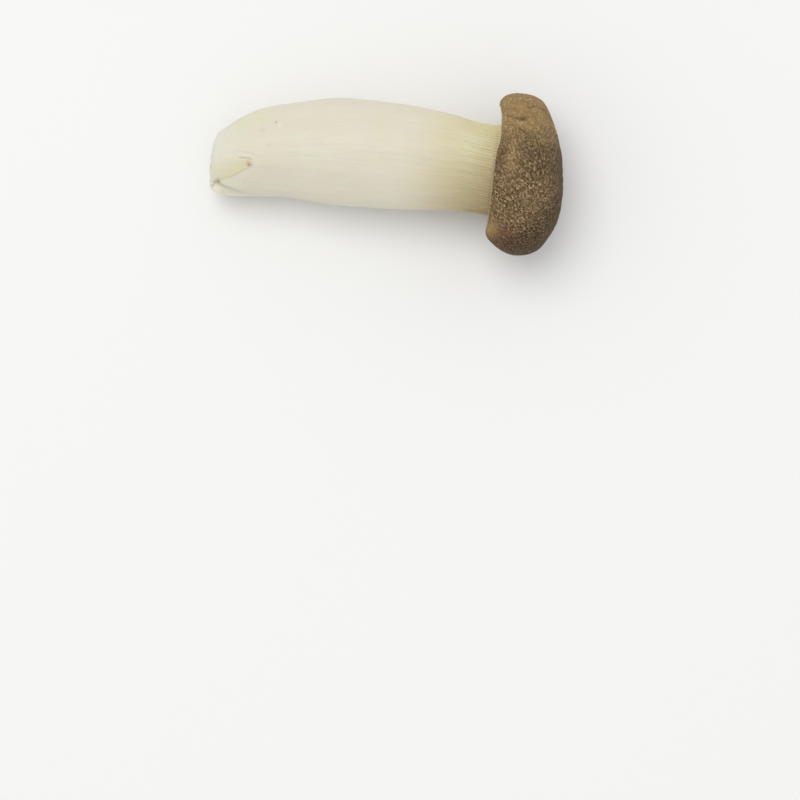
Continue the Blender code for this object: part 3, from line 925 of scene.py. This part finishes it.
def flesh_material(settings):
    """Pale flesh with fine fibres, a yellower neck with browner flesh and painted shade on its lower side, and the
    brown, yellow and pink of its cuts, with painted shade in their creases and a painted highlight on the flap.
    """
    material, tree, shader = new_material("mushroom_flesh")
    place = millimetres(tree)
    fibres = fibres_along(tree, 0.8, 16.0)
    torn = maths(tree, "POWER", mask(tree, "cut"), 3.0)
    torn = maths(tree, "MULTIPLY", torn, mottled(tree, place, 1.3, 0.45, 0.72))
    neck = maths(tree, "POWER", mask(tree, "neck"), 1.1)
    colour = tinted(
        tree,
        settings.flesh,
        (0.8, mottled(tree, place, 9.0), settings.flesh_warm),
        (0.28, fibres["Mask"], settings.fibre),
        (0.8, "cut", settings.cut),
        (0.5, torn, settings.fibre),
        (0.95, neck, settings.neck),
        (0.14, maths(tree, "MULTIPLY", fibres["Mask"], neck), settings.dull_and_shade),
        # Browner flesh and painted shade on the neck's lower side.
        (1.0, "dull_and_shade", settings.dull_and_shade),
        (0.6, "green", settings.green),
        (0.75, maths(tree, "POWER", mask(tree, "yellow"), 0.5), settings.yellow),
        # Paler raised flesh, and a painted highlight on the flap below the fold.
        (0.75, "pale_and_lit", settings.pale_and_lit),
        (0.06, mottled(tree, place, 0.7, 0.62, 0.75), settings.brown_and_shade),
        # Brown bruises and spots, with painted shade along the creases.
        (0.8, "brown_and_shade", settings.brown_and_shade),
        (0.7, "blush", settings.blush),
    )
    tree.links.new(colour, shader.inputs["Base Color"])
    tree.links.new(ranged(tree, fibres["Mask"], 0.0, 1.0, 0.48, 0.60), shader.inputs["Roughness"])
    set_values(shader, subsurface_weight=0.22, subsurface_scale=0.0025, subsurface_radius=(1.0, 0.7, 0.4))
    bumped(tree, shader, fibres["Height"], 0.00018, 0.8)
    return material


def cap_material(settings):
    """Brown skin with a pale nap, tanner at its upper end, greyer and darker on the dome and the lower side by
    its own tone and painted shade, over a pale underside.
    """
    material, tree, shader = new_material("mushroom_cap_skin")
    place = millimetres(tree)
    fine = mottled(tree, place, 0.36, 0.38, 0.62)
    nap = ranged(tree, mask(tree, "nap"), 0.10, 0.96)
    nap = add(tree, "ShaderNodeMix", {0: 0.42, 2: nap, 3: fine}, data_type="FLOAT").outputs[0]
    nap = maths(tree, "POWER", ranged(tree, nap, 0.20, 0.90), 1.7)
    even = maths(tree, "MULTIPLY", mask(tree, "even"), 0.12)
    even = maths(tree, "ADD", even, maths(tree, "MULTIPLY", mottled(tree, place, 5.0), 0.2))
    colour = tinted(
        tree,
        settings.pit,
        (1.0, nap, settings.nap),
        (1.0, even, settings.skin),
        (0.4, mottled(tree, place, 2.2, 0.45, 0.70), settings.ruddy, "MULTIPLY"),
        # Painted shade, with the skin's own darker tone, laid over the dome and the lower side.
        (1.0, "tone_and_shade", settings.tone_and_shade, "MULTIPLY"),
        (0.36, "tan", settings.tan),
        (1.0, "ruddy", settings.ruddy, "MULTIPLY"),
        (0.5, "pale_edge", settings.tan),
        # Painted shade in the creases, in the pits' colour.
        (0.7, "crease", settings.pit),
        (1.0, maths(tree, "SUBTRACT", 1.0, mask(tree, "skin")), settings.underside),
        (0.75, "lip", settings.lip),
    )
    tree.links.new(colour, shader.inputs["Base Color"])
    set_values(shader, roughness=0.8, subsurface_weight=0.05, subsurface_scale=0.0015)
    shader.inputs["Specular IOR Level"].default_value = 0.25
    bumped(tree, shader, nap, 0.00012, 0.7)
    return material


def gill_material(settings):
    """Thin pale gills, creamier at their feet, a little translucent."""
    material, tree, shader = new_material("mushroom_gills")
    place = millimetres(tree)
    fibres = fibres_along(tree, 0.35, 10.0)
    colour = tinted(
        tree,
        settings.foot,
        (1.0, "crest", settings.crest),
        (0.4, mottled(tree, place, 6.0), settings.foot),
        (0.12, fibres["Mask"], settings.foot),
    )
    colour = blended(tree, mask(tree, "outward"), settings.neck, colour)
    # Browner flesh and painted shade on the neck's lower side, fainter further out on the gills.
    fainter = ranged(tree, mask(tree, "outward"), 0.0, 1.0, 1.0, 0.45)
    dull_and_shade = maths(tree, "MULTIPLY", mask(tree, "dull_and_shade"), fainter)
    colour = blended(tree, dull_and_shade, colour, settings.dull_and_shade)
    tree.links.new(colour, shader.inputs["Base Color"])
    set_values(shader, roughness=0.6, subsurface_weight=0.25, subsurface_scale=0.0012)
    bumped(tree, shader, fibres["Height"], 0.00006, 0.6)
    return material


def colour_property(name, description, value):
    return FloatVectorProperty(
        name=name, description=description, default=value, size=3, subtype="COLOR", min=0.0, max=1.0
    )


def length_property(name, description, millimetre):
    return FloatProperty(name=name, description=description, default=millimetre * MM, unit="LENGTH", min=0.0)


class StemSettings(PropertyGroup):
    """Sizes and colours of the stem."""

    crowding: FloatProperty(name="Crowding", description="Spacing of rings at the foot", default=0.42)
    fibre_stretch: FloatProperty(name="Fibre stretch", description="Length over width", default=9.0, min=1.0)
    fibre_relief: length_property("Fibre relief", "Height of the fibres", 0.022)
    unevenness: length_property("Unevenness", "Height of the slow swells", 0.10)
    cut_relief: length_property("Cut relief", "Height of the torn flesh on the cut", 0.15)
    flesh: colour_property("Flesh", "Skin of the stem", (0.70, 0.675, 0.545))
    flesh_warm: colour_property("Warm flesh", "Patches of warmer flesh", (0.69, 0.64, 0.52))
    fibre: colour_property("Fibre", "Fine streaks in the skin", (0.63, 0.59, 0.46))
    cut: colour_property("Cut", "The trimmed face", (0.71, 0.715, 0.635))
    neck: colour_property("Neck", "Where the stem meets the gills", (0.70, 0.625, 0.36))
    # Colour of the browner flesh and of the painted shade on the neck's lower side.
    dull_and_shade: colour_property("Dull side", "Browner flesh on the neck's lower side", (0.30, 0.205, 0.10))
    yellow: colour_property("Slice", "Flesh that the slice laid bare", (0.66, 0.62, 0.36))
    green: colour_property("Green tint", "Faint patches on the upper side", (0.66, 0.66, 0.44))
    # Colour of bruises and specks, and of the painted shade in the foot's creases.
    brown_and_shade: colour_property("Brown", "Creases and bruises", (0.27, 0.19, 0.05))
    # Colour of paler raised flesh, and of the painted highlight on the flap below the fold.
    pale_and_lit: colour_property("Pale", "Raised flesh beside the creases", (0.90, 0.86, 0.71))
    blush: colour_property("Blush", "Torn flesh at the slice's tip", (0.72, 0.48, 0.30))


class CapSettings(PropertyGroup):
    """Sizes and colours of the cap."""

    nap_size: length_property("Nap size", "Distance between the specks of the nap", 1.0)
    nap_relief: length_property("Nap relief", "Height of the nap", 0.028)
    unevenness: length_property("Unevenness", "Height of the slow lumps", 0.13)
    wrinkle_relief: length_property("Wrinkle relief", "Height of the wrinkles beside the fold", 0.24)
    # Also the colour of the painted shade in the cap's creases.
    pit: colour_property("Pits", "Skin between the specks", (0.068, 0.039, 0.015))
    nap: colour_property("Nap", "Light specks", (0.515, 0.368, 0.192))
    skin: colour_property("Skin", "Even patches", (0.170, 0.108, 0.049))
    # Painted shade, with the skin's own darker tone, multiplied over the dome and the lower side.
    tone_and_shade: colour_property("Dusk", "Shade of the dome and the lower side over the rest", (0.50, 0.48, 0.47))
    tan: colour_property("Tan", "The cap's upper end", (0.50, 0.345, 0.138))
    ruddy: colour_property("Ruddy", "Reddish tint over the rest", (1.0, 0.82, 0.84))
    lip: colour_property("Lip", "The margin's thin edge", (0.44, 0.34, 0.19))
    underside: colour_property("Underside", "Flesh between the gills", (0.50, 0.43, 0.28))


class GillSettings(PropertyGroup):
    """Sizes and colours of the gills."""

    blades: IntProperty(name="Gills", description="Long gills, with short ones between", default=92, min=8)
    seed: IntProperty(name="Seed", description="Of where the gills start and how they wander", default=5)
    thickness: length_property("Thickness", "Across the foot of a gill", 0.34)
    frill: FloatProperty(name="Frill", description="Share that edges are notched by", default=0.08, min=0.0)
    crest: colour_property("Edge", "Colour of the gills' edges", (0.69, 0.635, 0.44))
    neck: colour_property("Neck", "Colour of the gills' ends on the neck", (0.71, 0.64, 0.375))
    # Colour of the browner flesh and of the painted shade on the neck's lower side.
    dull_and_shade: colour_property("Dull side", "Browner flesh on the neck's lower side", (0.30, 0.205, 0.10))
    foot: colour_property("Foot", "Colour between the gills", (0.56, 0.49, 0.29))


class StageSettings(PropertyGroup):
    """The floor, the light and the camera."""

    floor_size: length_property("Floor", "Side of the floor", 6000.0)
    floor: colour_property("Floor colour", "Plain pale floor", (0.86, 0.86, 0.85))
    sky: FloatProperty(name="Sky", description="Strength of the light from above", default=0.75, min=0.0)
    horizon: FloatProperty(name="Horizon", description="Strength of the light from the sides", default=0.92)
    key: FloatProperty(name="Key", description="Watts of the large soft lamp", default=26.0, min=0.0)
    lamp_size: length_property("Lamp size", "Across the large soft lamp", 1800.0)
    camera_height: length_property("Camera height", "Above the floor", 900.0)
    view_width: length_property("View width", "What the camera sees across, at the level of view", 228.57)
    view_level: length_property("View level", "Height at which the width is measured", 15.0)
    view_x: FloatProperty(name="View X", description="Camera's place", default=4.16 * MM, unit="LENGTH")
    view_y: FloatProperty(name="View Y", description="Camera's place", default=-64.13 * MM, unit="LENGTH")


class MUSHROOM_OT_stem(Operator):
    """Grow the stem with its trimmed foot"""

    bl_idname = "mushroom.stem"
    bl_label = "Stem"

    def execute(self, context):
        settings = context.scene.mushroom_stem
        finish_piece(build_stem(settings), flesh_material(settings))
        return {"FINISHED"}


class MUSHROOM_OT_cap(Operator):
    """Grow the cap with its inrolled margin"""

    bl_idname = "mushroom.cap"
    bl_label = "Cap"

    def execute(self, context):
        settings = context.scene.mushroom_cap
        finish_piece(build_cap(settings), cap_material(settings))
        return {"FINISHED"}


class MUSHROOM_OT_gills(Operator):
    """Grow the gills, long and short"""

    bl_idname = "mushroom.gills"
    bl_label = "Gills"

    def execute(self, context):
        settings = context.scene.mushroom_gills
        finish_piece(build_gills(settings), gill_material(settings))
        return {"FINISHED"}


class MUSHROOM_OT_stage(Operator):
    """Lay the floor, hang the light and set the camera over the mushroom"""

    bl_idname = "mushroom.stage"
    bl_label = "Stage"

    def execute(self, context):
        settings = context.scene.mushroom_stage
        build_floor(settings)
        build_light(settings)
        build_camera(settings)
        return {"FINISHED"}


class MUSHROOM_PT_panel(Panel):
    """Lists the mushroom's pieces with their settings"""

    bl_label = "King Oyster Mushroom"
    bl_idname = "MUSHROOM_PT_panel"
    bl_space_type = "VIEW_3D"
    bl_region_type = "UI"
    bl_category = "Mushroom"

    def draw(self, context):
        for operator, holder in zip(OPERATORS, SETTINGS):
            box = self.layout.box()
            box.operator(operator.bl_idname)
            settings = getattr(context.scene, holder)
            for name in settings.__annotations__:
                box.prop(settings, name)


def build_floor(settings):
    """A plain square, a tenth of a millimetre below the mushroom."""
    half = settings.floor_size / MM / 2
    corners = np.array([(-half, -half, -0.1), (half, -half, -0.1), (half, half, -0.1), (-half, half, -0.1)])
    floor = new_object("floor", corners, [(0, 1, 2, 3)], {})
    material, _, shader = new_material("stage_floor")
    set_values(shader, base_color=(*settings.floor, 1.0), roughness=0.9)
    floor.data.materials.append(material)


def build_light(settings):
    """Light from all round, and one large soft lamp up and to the left."""
    scene = bpy.context.scene
    world = bpy.data.worlds.new("sky")
    world.use_nodes = True
    tree = world.node_tree
    height = add(tree, "ShaderNodeSeparateXYZ", {0: add(tree, "ShaderNodeTexCoord").outputs["Generated"]})
    strength = ranged(tree, height.outputs["Z"], 0.05, 0.35, settings.horizon, settings.sky)
    tree.nodes["Background"].inputs["Color"].default_value = (1.0, 1.0, 1.0, 1.0)
    tree.links.new(strength, tree.nodes["Background"].inputs["Strength"])
    scene.world = world
    lamp = bpy.data.lights.new("key", "AREA")
    lamp.shape = "DISK"
    lamp.size = settings.lamp_size
    lamp.energy = settings.key
    key = bpy.data.objects.new("key", lamp)
    key.location = LAMP_PLACE
    key.rotation_euler = (-key.location).to_track_quat("-Z", "Y").to_euler()
    scene.collection.objects.link(key)
    scene.view_settings.view_transform = "Standard"


def build_camera(settings):
    """Straight above, with the lens that gives the view's width at the view's level."""
    data = bpy.data.cameras.new("camera")
    distance = settings.camera_height - settings.view_level
    data.lens = data.sensor_width * distance / settings.view_width
    data.clip_start = 0.01
    camera = bpy.data.objects.new("camera", data)
    camera.location = (settings.view_x, settings.view_y, settings.camera_height)
    bpy.context.scene.collection.objects.link(camera)
    bpy.context.scene.camera = camera


OPERATORS = (MUSHROOM_OT_stem, MUSHROOM_OT_cap, MUSHROOM_OT_gills, MUSHROOM_OT_stage)
SETTINGS = {
    "mushroom_stem": StemSettings,
    "mushroom_cap": CapSettings,
    "mushroom_gills": GillSettings,
    "mushroom_stage": StageSettings,
}


def register():
    for group_class in SETTINGS.values():
        bpy.utils.register_class(group_class)
    for holder, group_class in SETTINGS.items():
        setattr(bpy.types.Scene, holder, PointerProperty(type=group_class))
    for operator in (*OPERATORS, MUSHROOM_PT_panel):
        bpy.utils.register_class(operator)


def unregister():
    for operator in (MUSHROOM_PT_panel, *reversed(OPERATORS)):
        bpy.utils.unregister_class(operator)
    for holder, group_class in SETTINGS.items():
        delattr(bpy.types.Scene, holder)
        bpy.utils.unregister_class(group_class)


def main():
    register()
    bpy.ops.mushroom.stem()
    bpy.ops.mushroom.cap()
    bpy.ops.mushroom.gills()
    bpy.ops.mushroom.stage()


if __name__ == "__main__":
    main()
